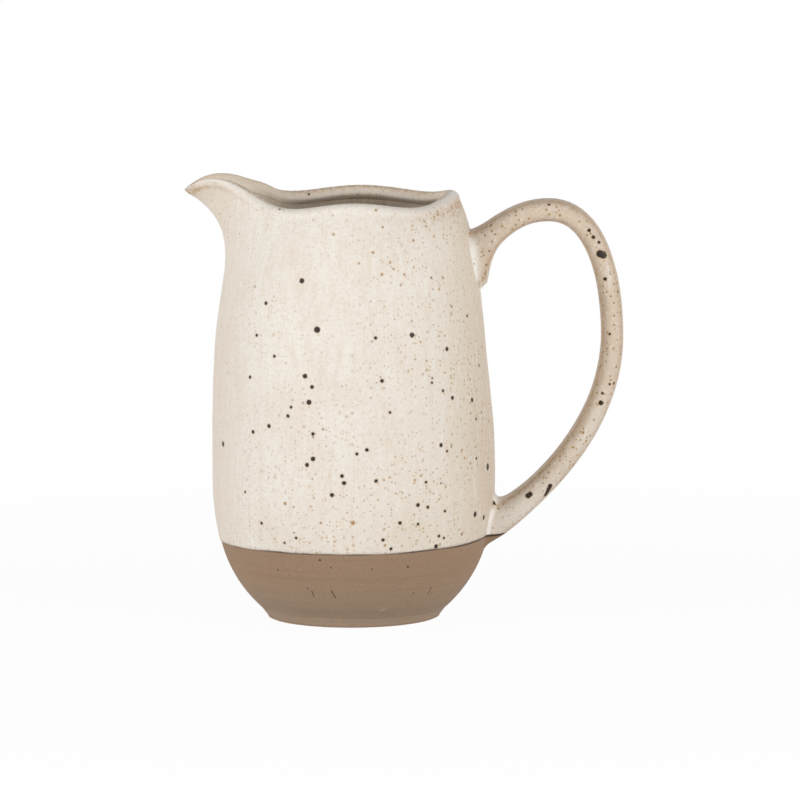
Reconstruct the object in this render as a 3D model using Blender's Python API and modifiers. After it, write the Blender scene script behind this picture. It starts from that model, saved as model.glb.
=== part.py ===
"""Stoneware water jug with a pulled spout and a strap handle.

The jug is put together as a potter makes it. The body is thrown, its spout is pulled from the
soft rim, and a low ring goes under its floor. A strap handle is set on the wall, with soft clay
worked round each end. Glaze coats the inside, the outside above the glaze line, and the strap.

Lengths are in metres. The jug stands on z = 0 with its spout towards -X.
"""

import math

import bmesh
import bpy
from mathutils import Vector
from mathutils.geometry import interpolate_bezier

# Thrown body
RIM_HEIGHT = 0.1750
RIM_RADIUS = 0.0449
RIM_TAPER = 0.22  # Run per rise of the wall under the rim
BELLY_HEIGHT = 0.0560
BELLY_RADIUS = 0.0583
BELLY_ROUND_ABOVE = 0.0430  # How far the belly's upright tangent carries up
BELLY_ROUND_BELOW = 0.0220  # How far it carries down
RIM_ROUND = 0.0500  # How far the rim's taper carries down
SEAT_RADIUS = 0.0390  # The wall's start, over the foot ring
SEAT_RUN = 0.0138  # Outward reach of the wall's first tangent
SEAT_RISE = 0.0160
WALL = 0.0048
FLOOR = 0.0060
FLOOR_COVE = 0.0040  # Width of the slope between inner wall and floor
LIP_THICKNESS = 0.0058
LIP_ROUND = 0.0030  # Height of the rounded crest
LIP_DEPTH = 0.0062  # From the crest down to the undercut inside

# Spout and rim, pulled from the thrown shape
SPOUT_DEPTH = 0.0420  # From the rim down to where the pull starts
SPOUT_REACH = 0.0246
SPOUT_HALF_ANGLE = math.radians(12)
SPOUT_FLARE = 3.4  # Power by which the pull grows from the spout's start up to the rim
SPOUT_TIP_LIFT = 0.0040
SPOUT_FLANK_LIFT = 0.0055
RIM_WAVE = 0.0018
RIM_WAVES = 4

# Foot ring
FOOT_HEIGHT = 0.0030
FOOT_RADIUS = 0.0365
FOOT_TOP_RADIUS = 0.0380
FOOT_WIDTH = 0.0080
FOOT_EDGE = 0.0008  # Chamfer round the standing edge

# Strap handle, measured to its centre line
UPPER_JOINT_DROP = 0.0230  # From the rim down to the joint
UPPER_JOINT_RUN = 0.0140  # Outward reach of the strap's first tangent
UPPER_JOINT_RISE = 0.0115
STRAP_TOP_DROP = 0.0048  # From the rim down to the strap's highest point
STRAP_TOP_OFFSET = 0.0320  # From the upper joint out to the strap's highest point
STRAP_TOP_ROUND = 0.0165
STRAP_OUTER_HEIGHT = 0.1180
STRAP_OUTER_OFFSET = 0.0496  # From the belly out to the strap's outermost point
STRAP_ROUND_ABOVE = 0.0280
STRAP_ROUND_BELOW = 0.0440
LOWER_JOINT_HEIGHT = 0.0392
LOWER_JOINT_RUN = 0.0190
LOWER_JOINT_RISE = 0.0126
STRAP_THICKNESS = 0.0080
STRAP_LOW_THICKNESS = 0.0096
STRAP_WIDTH = 0.0180
ROOT_THICKENING = 0.0030
ROOT_WIDENING = 0.0030
ROOT_LENGTH = 0.0160
ROOT_DEPTH = 0.0160  # How far the uncut strap runs on inside the wall line

# Clay worked round the joints
COIL_LENGTH = 0.0130
COIL_SIDE_SHARE = 0.4  # Of the clay's build-up in line with the strap, what goes to each side
COIL_EDGE = 0.0010
UPPER_COIL_SIZE = 0.0110
LOWER_COIL_SIZE = 0.0006

# Glaze coats and the gap under and between them
GLAZE = 0.0005
GLAZE_LINE = 0.0330
GAP = 0.0003

# Facets
TURN_STEPS = 44
SPOUT_GATHER = 0.55  # Share by which the turned facets close up towards the spout
WALL_ROWS = 8
BOWL_ROWS = 3
LIP_ROWS = 4
RING_POINTS = 16
STRAP_ROWS = 18
COIL_ROWS = 3
PATH_ROWS = 24
SLIVER = 0.00005

STONEWARE = (0.309, 0.205, 0.133, 1.0)
CREAM_GLAZE = (0.810, 0.745, 0.650, 1.0)
INSIDE_GLAZE = (0.700, 0.630, 0.540, 1.0)


def make_collection(name):
    """A new collection in the scene."""
    collection = bpy.data.collections.new(name)
    bpy.context.scene.collection.children.link(collection)
    return collection


def make_material(name, colour, roughness):
    """A plain Principled material."""
    material = bpy.data.materials.new(name)
    material.use_nodes = True
    shader = material.node_tree.nodes["Principled BSDF"]
    shader.inputs["Base Color"].default_value = colour
    shader.inputs["Roughness"].default_value = roughness
    shader.inputs["Metallic"].default_value = 0.0
    return material


def add_piece(name, mesh, material):
    """A finished piece standing on the jug's axis."""
    piece = bpy.data.objects.new(name, mesh)
    piece.data.materials.append(material)
    piece.data.shade_smooth()
    piece.data.set_sharp_from_angle(angle=math.radians(40))
    parts.objects.link(piece)
    piece.parent = axis
    return piece


def add_cutter(name, mesh):
    """A hidden solid that only cuts."""
    cutter = bpy.data.objects.new(name, mesh)
    cutter.hide_render = True
    cutter.display_type = 'WIRE'
    cutters.objects.link(cutter)
    cutter.parent = axis
    return cutter


def cut(piece, cutter):
    """Take the cutter's volume out of a piece."""
    boolean = piece.modifiers.new(cutter.name, 'BOOLEAN')
    boolean.operation = 'DIFFERENCE'
    boolean.solver = 'EXACT'
    boolean.object = cutter


def weld(piece):
    """Close up the slivers that cuts leave at a piece's corners."""
    welding = piece.modifiers.new("Weld", 'WELD')
    welding.merge_threshold = SLIVER


def offset(line, distance):
    """The (radius, height) line moved to its left, which is out of the clay."""
    moved = []
    for index, point in enumerate(line):
        before = line[max(index - 1, 0)]
        after = line[min(index + 1, len(line) - 1)]
        along = (after - before).normalized()
        side = Vector((-along.y, along.x))
        moved.append(point + side * distance)
    return moved


def coat(line, first, last):
    """The outline of a glaze coat over the points first to last of a line."""
    over = offset(line, GAP + GLAZE)[first:last + 1]
    under = offset(line, GAP)[first:last + 1]
    return over + under[::-1]


def outer_wall():
    """The outside of the clay, from under the lip down to the foot ring."""
    seat_height = FOOT_HEIGHT + GAP
    belly = Vector((BELLY_RADIUS, BELLY_HEIGHT))
    rim = Vector((RIM_RADIUS, RIM_HEIGHT - LIP_ROUND))
    seat = Vector((SEAT_RADIUS, seat_height))
    upper = interpolate_bezier(
        rim,
        rim + Vector((RIM_TAPER * RIM_ROUND, -RIM_ROUND)),
        belly + Vector((0.0, BELLY_ROUND_ABOVE)),
        belly,
        WALL_ROWS * WALL_ROWS + 1,
    )
    lower = interpolate_bezier(
        belly,
        belly - Vector((0.0, BELLY_ROUND_BELOW)),
        seat + Vector((SEAT_RUN, SEAT_RISE)),
        seat,
        2 * BOWL_ROWS + 1,
    )
    # Rows stand closer together towards the rim, where the spout bends them.
    upper = [upper[row * row] for row in range(WALL_ROWS)]
    return [Vector(point[:2]) for point in upper + lower]


def split_at_height(line, height):
    """The stretches of a falling line above and below a height, each with the point on it."""
    for index, (start, end) in enumerate(zip(line, line[1:])):
        if start.y > height >= end.y:
            share = (start.y - height) / (start.y - end.y)
            point = start.lerp(end, share)
            return line[:index + 1] + [point], [point] + line[index + 1:]
    raise ValueError("the line doesn't cross this height")


def lip():
    """The rounded crest of the rim, from its inner to its outer side."""
    half = LIP_THICKNESS / 2
    centre = Vector((RIM_RADIUS - half, RIM_HEIGHT - LIP_ROUND))
    crest = []
    for row in range(LIP_ROWS):
        turn = math.pi * (1 - row / LIP_ROWS)
        crest.append(centre + Vector((half * math.cos(turn), LIP_ROUND * math.sin(turn))))
    return crest


def inner_wall(outside):
    """The inside of the clay, from the floor's middle up to the undercut below the lip."""
    floor_height = FOOT_HEIGHT + GAP + FLOOR
    rising = offset(outside, -WALL)[::-1]
    side = [
        point for point in rising
        if floor_height + FLOOR_COVE / 2 < point.y < RIM_HEIGHT - LIP_DEPTH
    ]
    cove = Vector((side[0].x - FLOOR_COVE, floor_height))
    middle = Vector((0.0, floor_height))
    return [middle, cove] + side


def pull(point):
    """Where a thrown point lands once the spout is pulled and the rim is waved."""
    radius = math.hypot(point.x, point.y)
    turn = math.atan2(point.y, -point.x)
    turn -= SPOUT_GATHER * math.sin(turn)
    rise = max(0.0, 1 + (point.z - RIM_HEIGHT) / SPOUT_DEPTH)
    draw = 1 / (1 + (turn / SPOUT_HALF_ANGLE) ** 2)
    lift = SPOUT_TIP_LIFT * draw + 4 * SPOUT_FLANK_LIFT * draw * (1 - draw)
    lift += RIM_WAVE * (1 - draw) * math.cos(RIM_WAVES * turn)
    radius += SPOUT_REACH * draw * rise ** SPOUT_FLARE
    height = point.z + lift * rise ** SPOUT_FLARE
    return Vector((-radius * math.cos(turn), radius * math.sin(turn), height))


def throw(name, outline, closed):
    """The mesh of an outline turned about the axis and pulled into shape."""
    rows = len(outline)
    edges = [(row, row + 1) for row in range(rows - 1)]
    if closed:
        edges.append((rows - 1, 0))
    profile = bpy.data.meshes.new(name + "_profile")
    profile.from_pydata([(point.x, 0.0, point.y) for point in outline], edges, [])
    turning = bpy.data.objects.new(name + "_turning", profile)
    cutters.objects.link(turning)
    screw = turning.modifiers.new("Turn", 'SCREW')
    screw.axis = 'Z'
    screw.steps = TURN_STEPS
    screw.render_steps = TURN_STEPS
    screw.use_merge_vertices = True
    screw.merge_threshold = 0.00002
    graph = bpy.context.evaluated_depsgraph_get()
    mesh = bpy.data.meshes.new_from_object(turning.evaluated_get(graph))
    mesh.name = name
    bpy.data.objects.remove(turning)
    bpy.data.meshes.remove(profile)
    for vertex in mesh.vertices:
        vertex.co = pull(vertex.co)
    face_outwards(mesh)
    return mesh


def face_outwards(mesh):
    """Weld a mesh and turn its faces outwards."""
    shape = bmesh.new()
    shape.from_mesh(mesh)
    bmesh.ops.remove_doubles(shape, verts=shape.verts, dist=0.00002)
    bmesh.ops.recalc_face_normals(shape, faces=shape.faces)
    bmesh.ops.triangulate(shape, faces=shape.faces, quad_method='SHORT_EDGE')
    shape.to_mesh(mesh)
    shape.free()


def loft(name, rings, closed):
    """The mesh over a row of rings: capped at its ends, or joined end to start."""
    shape = bmesh.new()
    loops = [[shape.verts.new(point) for point in ring] for ring in rings]
    following = loops[1:] + loops[:1] if closed else loops[1:]
    for near, far in zip(loops, following):
        for index in range(RING_POINTS):
            after = (index + 1) % RING_POINTS
            shape.faces.new((near[index], near[after], far[after], far[index]))
    if not closed:
        shape.faces.new(loops[0])
        shape.faces.new(loops[-1])
    mesh = bpy.data.meshes.new(name)
    bmesh.ops.recalc_face_normals(shape, faces=shape.faces)
    shape.to_mesh(mesh)
    shape.free()
    return mesh


def wall_point(outside, height):
    """The point of the outer wall at a height."""
    return split_at_height(outside, height)[1][0]


def strap_path(outside):
    """The strap's centre line from joint to joint, as (run out from the axis, height)."""
    upper = wall_point(outside, RIM_HEIGHT - UPPER_JOINT_DROP)
    upper_lead = Vector((UPPER_JOINT_RUN, UPPER_JOINT_RISE))
    lower = wall_point(outside, LOWER_JOINT_HEIGHT)
    lower_lead = Vector((LOWER_JOINT_RUN, LOWER_JOINT_RISE))
    top = Vector((upper.x + STRAP_TOP_OFFSET, RIM_HEIGHT - STRAP_TOP_DROP))
    outer = Vector((BELLY_RADIUS + STRAP_OUTER_OFFSET, STRAP_OUTER_HEIGHT))
    stretches = [
        (
            upper,
            upper + upper_lead,
            top - Vector((STRAP_TOP_ROUND, 0.0)),
            top,
        ),
        (
            top,
            top + Vector((STRAP_TOP_ROUND, 0.0)),
            outer + Vector((0.0, STRAP_ROUND_ABOVE)),
            outer,
        ),
        (
            outer,
            outer - Vector((0.0, STRAP_ROUND_BELOW)),
            lower + lower_lead,
            lower,
        ),
    ]
    path = [upper - upper_lead.normalized() * ROOT_DEPTH]
    for stretch in stretches:
        path += interpolate_bezier(*stretch, PATH_ROWS + 1)[:-1]
    path.append(lower)
    path.append(lower - lower_lead.normalized() * ROOT_DEPTH)
    return [Vector(point[:2]) for point in path]


def along_path(path, distance):
    """The point and the direction at a distance past the upper joint."""
    left = distance + ROOT_DEPTH
    for start, end in zip(path, path[1:]):
        length = (end - start).length
        if left <= length or end is path[-1]:
            return start.lerp(end, left / length), (end - start).normalized()
        left -= length


def path_length(path):
    """The strap's length between its joints."""
    return sum((end - start).length for start, end in zip(path, path[1:])) - 2 * ROOT_DEPTH


def section(path, distance, length, growth=0.0, margin=0.0):
    """One oval section of the strap, grown by built-up clay and by an even margin."""
    centre, direction = along_path(path, distance)
    run = distance / length
    nearest_joint = max(0.0, min(distance, length - distance))
    root = math.exp(-(nearest_joint / ROOT_LENGTH) ** 2)
    thickness = STRAP_THICKNESS + (STRAP_LOW_THICKNESS - STRAP_THICKNESS) * max(0.0, 2 * run - 1)
    across = (thickness + ROOT_THICKENING * root) / 2 + growth + margin
    sideways = (STRAP_WIDTH + ROOT_WIDENING * root) / 2 + growth * COIL_SIDE_SHARE + margin
    ring = []
    for index in range(RING_POINTS):
        turn = 2 * math.pi * (index + 0.5) / RING_POINTS
        out = across * math.cos(turn)
        ring.append(Vector((
            centre.x - direction.y * out,
            sideways * math.sin(turn),
            centre.y + direction.x * out,
        )))
    return ring


def coil_growth(distance, size):
    """How far a joint's clay builds up over its edge at a distance from the joint."""
    fade = (COIL_LENGTH - distance) / (COIL_LENGTH + ROOT_DEPTH / 2)
    return size * min(1.0, fade) ** 2


for leftover in list(bpy.data.objects):
    bpy.data.objects.remove(leftover)

parts = make_collection("stoneware_jug")
cutters = make_collection("cutters")
stoneware = make_material("stoneware", STONEWARE, 0.85)
cream_glaze = make_material("cream_glaze", CREAM_GLAZE, 0.40)
inside_glaze = make_material("inside_glaze", INSIDE_GLAZE, 0.45)

axis = bpy.data.objects.new("jug_axis", None)
parts.objects.link(axis)

# Thrown body, from the middle of the floor up the inside, over the lip and down the outside
outside = outer_wall()
inside = inner_wall(outside)
undercut = Vector((RIM_RADIUS - LIP_THICKNESS, RIM_HEIGHT - LIP_DEPTH))
seam = inside[-1].lerp(undercut, 0.5)
seam_side = (undercut - inside[-1]).normalized() * GAP / 2
above_line, below_line = split_at_height(outside, GLAZE_LINE)
inner_half = inside + [seam - seam_side]
outer_half = [seam + seam_side, undercut] + lip() + above_line
clay_line = inner_half + outer_half + below_line[1:]
underside = Vector((0.0, FOOT_HEIGHT + GAP))
add_piece("clay_body", throw("clay_body", clay_line + [underside], False), stoneware)

# Glaze inside, and outside over the lip and down to the glaze line
glaze_end = len(inner_half) + len(outer_half) - 1
liner_outline = coat(clay_line, 0, len(inner_half) - 1)
outer_outline = coat(clay_line, len(inner_half), glaze_end)
add_piece("liner_glaze", throw("liner_glaze", liner_outline, False), inside_glaze)
outer_glaze = add_piece("outer_glaze", throw("outer_glaze", outer_outline, True), cream_glaze)

# Foot ring, from its inner bottom edge up, across the seat and down the outside
foot_inner = FOOT_RADIUS - FOOT_WIDTH
foot_outline = [
    Vector((foot_inner, FOOT_EDGE)),
    Vector((foot_inner, FOOT_HEIGHT)),
    Vector((FOOT_TOP_RADIUS, FOOT_HEIGHT)),
    Vector((FOOT_RADIUS, FOOT_EDGE)),
    Vector((FOOT_RADIUS - FOOT_EDGE, 0.0)),
    Vector((foot_inner + FOOT_EDGE, 0.0)),
]
add_piece("foot_ring", throw("foot_ring", foot_outline, True), stoneware)

# Strap, trimmed to the wall
path = strap_path(outside)
length = path_length(path)
coil_rows = [COIL_LENGTH * row / COIL_ROWS for row in range(COIL_ROWS + 1)]
joint_rows = [-ROOT_DEPTH, -ROOT_DEPTH / 2] + coil_rows
upper_rows = joint_rows
lower_rows = [length - distance for distance in joint_rows]
free_start = COIL_LENGTH + GAP
free_step = (length - 2 * free_start) / STRAP_ROWS
free_rows = [free_start + free_step * row for row in range(STRAP_ROWS + 1)]
all_rows = upper_rows + free_rows + lower_rows[::-1]
wall_line = offset(outside, GAP)
wall_solid = [Vector((0.0, wall_line[0].y))] + wall_line + [Vector((0.0, wall_line[-1].y))]
wall_cutter = add_cutter("wall_cutter", throw("wall_cutter", wall_solid, False))
strap_rings = [section(path, row, length) for row in all_rows]
handle = add_piece("handle", loft("handle", strap_rings, False), stoneware)
cut(handle, wall_cutter)

# Clay worked round each joint, trimmed to the wall and clear of the strap
clear_rings = [section(path, row, length, margin=GAP) for row in all_rows]
strap_cutter = add_cutter("strap_cutter", loft("strap_cutter", clear_rings, False))
joints = (
    ("upper_joint_coil", upper_rows, UPPER_COIL_SIZE),
    ("lower_joint_coil", lower_rows, LOWER_COIL_SIZE),
)
for name, rows, size in joints:
    growths = [coil_growth(distance, size) for distance in joint_rows]
    rings = [section(path, row, length, growth, COIL_EDGE) for row, growth in zip(rows, growths)]
    coil = add_piece(name, loft(name, rings, False), cream_glaze)
    cut(coil, strap_cutter)
    cut(coil, wall_cutter)
    weld(coil)
    clear = COIL_EDGE + GAP
    rings = [section(path, row, length, growth, clear) for row, growth in zip(rows, growths)]
    joint_cutter = add_cutter(name + "_cutter", loft(name + "_cutter", rings, False))
    cut(outer_glaze, joint_cutter)
weld(outer_glaze)

# Glaze round the free strap
over = [section(path, row, length, margin=GAP + GLAZE) for row in free_rows]
under = [section(path, row, length, margin=GAP) for row in free_rows]
add_piece("handle_glaze", loft("handle_glaze", over + under[::-1], True), cream_glaze)

# The origin lies under the middle of the whole jug, between the spout's tip and the strap.
spout_end = max(-pull(Vector((-point.x, 0.0, point.y))).x for point in outer_outline)
strap_end = max(point.x for ring in over for point in ring)
axis.location.x = (spout_end - strap_end) / 2
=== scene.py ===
"""Stoneware water jug: its clay, its foot, its glazes and its strap handle, as fired."""

import math

import bpy
import numpy as np
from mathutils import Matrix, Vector, noise
from mathutils.geometry import interpolate_bezier


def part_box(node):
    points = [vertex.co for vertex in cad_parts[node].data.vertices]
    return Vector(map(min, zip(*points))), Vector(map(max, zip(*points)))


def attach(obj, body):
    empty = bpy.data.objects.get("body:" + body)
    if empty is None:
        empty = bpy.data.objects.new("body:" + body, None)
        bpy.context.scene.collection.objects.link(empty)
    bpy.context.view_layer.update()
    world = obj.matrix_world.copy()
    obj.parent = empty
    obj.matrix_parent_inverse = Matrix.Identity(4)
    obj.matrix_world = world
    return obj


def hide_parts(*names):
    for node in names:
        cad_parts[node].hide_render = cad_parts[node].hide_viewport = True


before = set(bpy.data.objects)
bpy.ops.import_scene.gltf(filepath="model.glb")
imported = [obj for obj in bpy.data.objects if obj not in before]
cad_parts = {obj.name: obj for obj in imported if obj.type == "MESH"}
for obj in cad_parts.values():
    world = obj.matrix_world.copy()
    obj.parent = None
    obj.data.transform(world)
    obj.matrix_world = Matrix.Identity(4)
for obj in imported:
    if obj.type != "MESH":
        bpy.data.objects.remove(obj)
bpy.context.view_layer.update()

# Thrown body. Brown stoneware, turned on the wheel with a wall about 5 mm thick and left bare
# below the glaze. A wet finger draws the spout out of the soft rim, and the wall keeps a slight
# lean and the shallow dents of the potter's hands.
foot_low, foot_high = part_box("foot_ring")
AXIS_X = (foot_low.x + foot_high.x) / 2
RIM_HEIGHT = 0.1735
RIM_RADIUS = 0.0435
RIM_TAPER = 0.545
RIM_ROUND = 0.0235
BELLY_HEIGHT = 0.0570
BELLY_RADIUS = 0.0585
BELLY_ROUND_ABOVE = 0.0283
BELLY_ROUND_BELOW = 0.0307
SEAT_HEIGHT = 0.0042
SEAT_RADIUS = 0.0389
SEAT_RUN = 0.0092
SEAT_RISE = 0.0087
SEAT_EDGE = 0.0009
SEAT_SAG = 0.0005
SEAT_ROUND = 0.0004
UNDERSIDE_RADII = (0, 0.015, 0.030)
WALL = 0.0054
GLAZE = 0.00045
FLOOR_TOP = 0.0096
FLOOR_COVE = 0.0060
FLOOR_ROWS = 8
LIP_THICKNESS = 0.0070
LIP_ROUND = 0.0031
LIP_DEPTH = 0.0047
LIP_RADIUS = RIM_RADIUS - LIP_THICKNESS / 2
LIP_HEIGHT = RIM_HEIGHT - LIP_ROUND
LIP_HANG = Vector((0.0001, 0.0014))
CREASE_HEIGHT = RIM_HEIGHT - LIP_DEPTH
CREASE_BEND = Vector((-0.0003, 0.0007))
CREASE_GAP = 0.0001
SPOUT_DEPTH = 0.0669
SPOUT_REACH = 0.0284
SPOUT_HALF_ANGLE = math.radians(15.4)
SPOUT_FLARE = 6.2
SPOUT_TIP_LIFT = 0.0048
SPOUT_FLANK_LIFT = 0.0080
SPOUT_GATHER = 0.463
SPOUT_LIP_END = 0.58
FULL_LIP_START = 1.03
LIP_PRESSED = 0.8
RIM_WAVE = 0.00155
RIM_WAVES = 4
RIM_SKEW = 0.24
RIM_TILT = 0.0021
RIM_SIDE_TILT = 0.0010
FLANK_SWELL = 0.0010
FLANK_TURN = 0.54
FLANK_REACH = 0.12
LIFT_FLARE = 1.9
LEAN = 0.0015
LEAN_HEIGHT = 0.1170
LEAN_REACH = 0.0343
LEAN_BACK = 0.0010
DENT = 0.00028
DENT_ROUND = 1.7
DENT_UP = 32
FINE_DENT = 0.35
FINE_DENT_SCALE = 2.7
GLAZE_EDGE = 0.0337
EDGE_TILT = 0.0009
EDGE_HANDLE_RISE = 0.0008
EDGE_HANDLE_REACH = 0.25
EDGE_WAVE = 0.0003
EDGE_WAVES = 3
EDGE_WAVE_START = 0.6
EDGE_RIPPLE = 0.00022
EDGE_RIPPLE_ROUND = 2.6
EDGE_RIPPLE_LEVEL = 4.0
TURN_STEPS = 240
START_SIZE = 0.001
MERGE_DISTANCE = 0.00001

rim = Vector((RIM_RADIUS, LIP_HEIGHT))
belly = Vector((BELLY_RADIUS, BELLY_HEIGHT))
seat = Vector((SEAT_RADIUS, SEAT_HEIGHT))
wall_line = interpolate_bezier(
    seat, seat + Vector((SEAT_RUN, SEAT_RISE)), belly - Vector((0, BELLY_ROUND_BELOW)), belly, 41)
wall_line += interpolate_bezier(
    belly, belly + Vector((0, BELLY_ROUND_ABOVE)),
    rim + Vector((RIM_TAPER * RIM_ROUND, -RIM_ROUND)), rim, 81)[1:]
wall_heights = [point[1] for point in wall_line]
wall_radii = [point[0] for point in wall_line]


def bell(value, middle, width):
    """A soft hump: 1 at its middle, falling away on both sides over a width."""
    return math.exp(-((value - middle) / width) ** 2)


def part_way(value, start, end):
    """How far a value has come from a start to an end, held between 0 and 1."""
    return min(1.0, max(0.0, (value - start) / (end - start)))


def ease(value, start, end):
    """How far a value has come from a start to an end, with a soft start and stop."""
    share = part_way(value, start, end)
    return share * share * (3 - 2 * share)


def wall_radius(height):
    """Radius of the bare wall's outside at a height."""
    return float(np.interp(height, wall_heights, wall_radii))


def wall_turn(x, y):
    """How far round from the spout a turned point comes to lie, gathered towards the spout."""
    turn = math.atan2(y, AXIS_X - x)
    return turn - SPOUT_GATHER * math.sin(turn)


def lean(height):
    """How far the wall leans towards the spout at a height."""
    return LEAN * bell(height, LEAN_HEIGHT, LEAN_REACH) - LEAN_BACK * height / RIM_HEIGHT


def dent(turn, height):
    """The soft unevenness that hands leave in the wall."""
    spot = Vector((DENT_ROUND * math.cos(turn), DENT_ROUND * math.sin(turn), height * DENT_UP))
    fine = FINE_DENT * noise.noise(spot * FINE_DENT_SCALE)
    return DENT * (noise.noise(spot) + fine)


def thickened(turn):
    """How much of the lip's thickening is left round the rim, little along the spout."""
    return ease(abs(turn), SPOUT_LIP_END, FULL_LIP_START)


def work_wall(point):
    """Where a turned point lands once the spout is drawn out and the wall is dented."""
    radius = math.hypot(point.x - AXIS_X, point.y)
    turn = wall_turn(point.x, point.y)
    rise = max(0.0, 1 + (point.z - RIM_HEIGHT) / SPOUT_DEPTH)
    draw = 1 / (1 + (turn / SPOUT_HALF_ANGLE) ** 2)
    lift = SPOUT_TIP_LIFT * draw + 4 * SPOUT_FLANK_LIFT * draw * (1 - draw)
    wave = RIM_WAVE * (1 - RIM_SKEW * math.sin(turn)) * math.cos(RIM_WAVES * turn)
    lift += (1 - draw) * (wave - RIM_TILT * math.cos(turn)) + RIM_SIDE_TILT * math.sin(turn)
    lift += FLANK_SWELL * bell(turn, FLANK_TURN, FLANK_REACH)
    if point.z > CREASE_HEIGHT:
        bulge = max(0.0, wall_radius(point.z) - WALL - GLAZE - radius)
        radius += LIP_PRESSED * (1 - thickened(turn)) * bulge
    rounded = min(1.0, radius / RIM_RADIUS)
    radius += SPOUT_REACH * draw * rise ** SPOUT_FLARE
    radius += rounded * dent(turn, point.z)
    return Vector((
        AXIS_X - radius * math.cos(turn) - lean(point.z),
        radius * math.sin(turn),
        point.z + lift * rise ** LIFT_FLARE,
    ))


def outer_line(low, rows):
    """The wall's outside from a height up to the lip."""
    return [Vector((wall_radius(height), height)) for height in np.linspace(low, LIP_HEIGHT, rows)]


def lip_line(rows):
    """The rounded lip from its outer side over the crest to the crease under its inner side."""
    half = LIP_THICKNESS / 2
    centre = Vector((LIP_RADIUS, LIP_HEIGHT))
    line = []
    for row in range(1, rows):
        turn = math.pi * row / rows
        line.append(centre + Vector((half * math.cos(turn), LIP_ROUND * math.sin(turn))))
    inner = centre - Vector((half, 0))
    wall = Vector((wall_radius(CREASE_HEIGHT) - WALL, CREASE_HEIGHT))
    under = interpolate_bezier(inner, inner - LIP_HANG, wall + CREASE_BEND, wall, rows)
    return line + [Vector(point[:2]) for point in under]


def inner_line(rows):
    """The inside from under the crease down to the floor, ending at its middle."""
    heights = np.linspace(CREASE_HEIGHT - CREASE_GAP, FLOOR_TOP + FLOOR_COVE, rows)
    line = [Vector((wall_radius(height) - WALL, height)) for height in heights]
    corner = line[-1]
    shares = [row / FLOOR_ROWS for row in range(1, FLOOR_ROWS + 1)]
    for share in shares:
        turn = math.pi / 2 * share
        line.append(corner + FLOOR_COVE * Vector((math.cos(turn) - 1, -math.sin(turn))))
    edge = line[-1].x
    return line + [Vector((edge * (1 - share), FLOOR_TOP)) for share in shares]


def turn_on_wheel(name, line):
    """A piece spun from a (radius, height) line that is drawn point by point from one vertex."""
    bpy.ops.object.select_all(action='DESELECT')
    start = (AXIS_X + line[0].x, 0, line[0].y)
    bpy.ops.mesh.primitive_plane_add(size=START_SIZE, location=start)
    piece = bpy.context.object
    piece.name = name
    bpy.ops.object.transform_apply(location=True)
    bpy.ops.object.mode_set(mode='EDIT')
    bpy.ops.mesh.select_all(action='SELECT')
    bpy.ops.mesh.merge(type='CENTER')
    for before, point in zip(line, line[1:]):
        step = (point.x - before.x, 0, point.y - before.y)
        bpy.ops.mesh.extrude_vertices_move(TRANSFORM_OT_translate={"value": step})
    bpy.ops.mesh.select_all(action='SELECT')
    bpy.ops.mesh.spin(
        steps=TURN_STEPS, angle=2 * math.pi, center=(AXIS_X, 0, 0), axis=(0, 0, 1))
    bpy.ops.mesh.select_all(action='SELECT')
    bpy.ops.mesh.remove_doubles(threshold=MERGE_DISTANCE)
    bpy.ops.mesh.normals_make_consistent(inside=False)
    bpy.ops.object.mode_set(mode='OBJECT')
    bpy.ops.object.shade_smooth()
    return piece


def glaze_edge(x, y):
    """Height of the glaze's lower edge round the wall, a little higher at the handle."""
    turn = math.atan2(y, x - AXIS_X)
    across, aside = EDGE_RIPPLE_ROUND * math.cos(turn), EDGE_RIPPLE_ROUND * math.sin(turn)
    ripple = EDGE_RIPPLE * noise.noise(Vector((across, aside, EDGE_RIPPLE_LEVEL)))
    wave = EDGE_WAVE * math.cos(EDGE_WAVES * turn + EDGE_WAVE_START)
    rise = EDGE_TILT * math.cos(turn) + EDGE_HANDLE_RISE * bell(turn, 0, EDGE_HANDLE_REACH)
    return GLAZE_EDGE + rise + wave + ripple


def keep_values(piece, name, values):
    """Store one number for each point of a piece, for its material."""
    attribute = piece.data.attributes.new(name, 'FLOAT', 'POINT')
    attribute.data.foreach_set("value", values)


def keep_edge_distance(piece):
    """Store how far above the glaze's lower edge each point of a piece lies."""
    keep_values(piece, "above_edge", [
        vertex.co.z - glaze_edge(vertex.co.x, vertex.co.y) for vertex in piece.data.vertices])


underside = [Vector((radius, SEAT_HEIGHT)) for radius in UNDERSIDE_RADII]
underside.append(Vector((SEAT_RADIUS - SEAT_EDGE, SEAT_HEIGHT - SEAT_SAG)))
outside = outer_line(SEAT_HEIGHT + SEAT_ROUND, rows=110)
clay_line = underside + outside + lip_line(rows=8) + inner_line(rows=24)
clay = turn_on_wheel("thrown_body", clay_line)
for vertex in clay.data.vertices:
    vertex.co = work_wall(vertex.co)
keep_edge_distance(clay)

CLAY_BROWN = (0.325, 0.213, 0.133)
CLAY_GREY = (0.330, 0.237, 0.161)
CLAY_RED = (0.350, 0.218, 0.132)
CLAY_DARK = (0.060, 0.038, 0.026)
CLAY_PALE = (0.52, 0.41, 0.30)
CLAY_ROUGHNESS = 0.82
SMALLEST_SPECK = 0.25
SPECK_SOFTNESS = 0.35
BURN_SCALE = 45


def add_node(tree, kind, links=None, **settings):
    """A node with its settings made and its inputs set or joined."""
    node = tree.nodes.new(kind)
    for name, value in settings.items():
        setattr(node, name, value)
    for socket, value in (links or {}).items():
        if isinstance(value, bpy.types.NodeSocket):
            tree.links.new(value, node.inputs[socket])
        else:
            node.inputs[socket].default_value = value
    return node


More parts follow.
